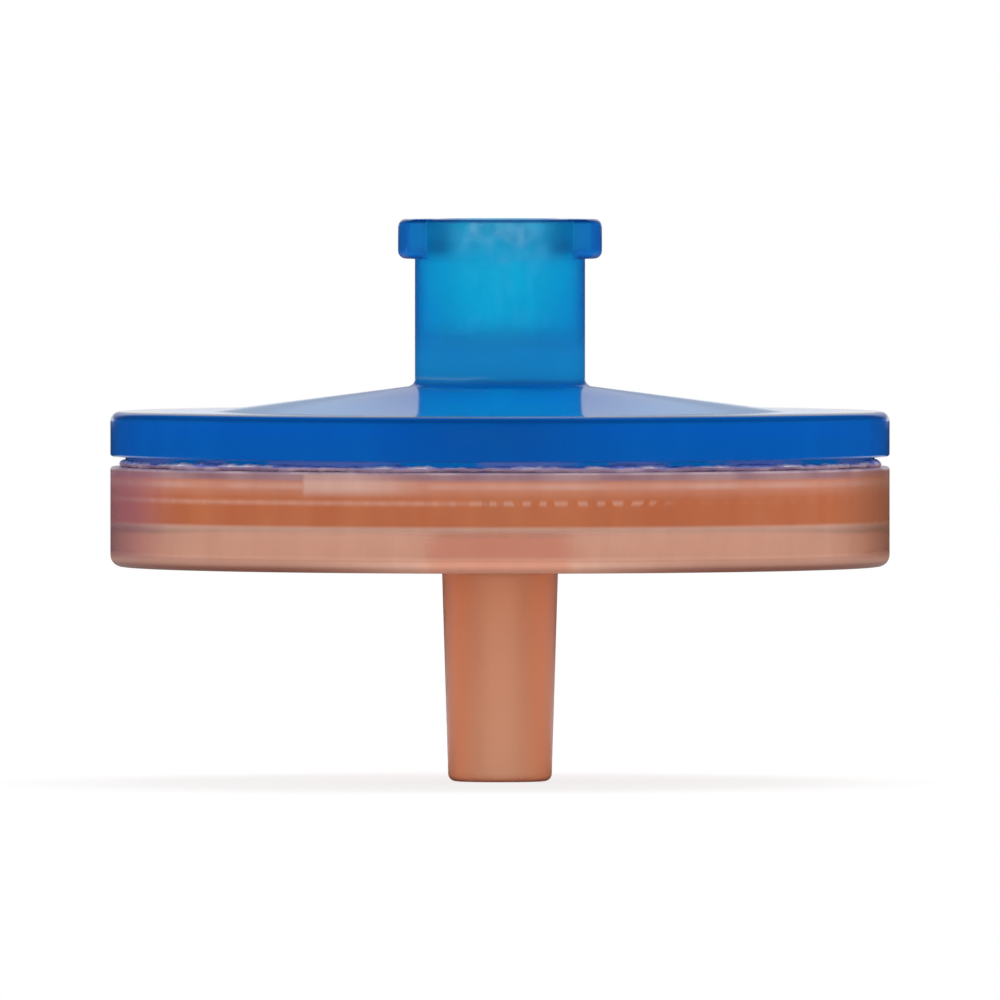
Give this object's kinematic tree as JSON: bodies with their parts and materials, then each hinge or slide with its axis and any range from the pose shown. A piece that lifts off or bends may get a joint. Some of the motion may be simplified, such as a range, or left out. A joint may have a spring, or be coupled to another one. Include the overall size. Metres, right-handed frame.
{
  "type": "syringe filter",
  "caption": "Welded disc-shaped syringe filter: a membrane between a blue housing with a female luer lock and an orange housing with a male luer slip.",
  "frame": {"origin": "centre of the open end of the outlet slip, which is the lowest point of the axis", "axes": "+Z along the filter's axis from the outlet up to the inlet; +X through the middle of one luer lug"},
  "size_m": [0.03, 0.03, 0.0216],
  "materials": {
    "inlet_plastic": "translucent blue polypropylene, moulded gloss",
    "membrane_film": "matt white filter film",
    "outlet_plastic": "translucent orange polypropylene, moulded gloss"
  },
  "bodies": {
    "root": {"inlet_housing": "inlet_plastic", "membrane": "membrane_film", "outlet_housing": "outlet_plastic"}
  },
  "joints": []
}
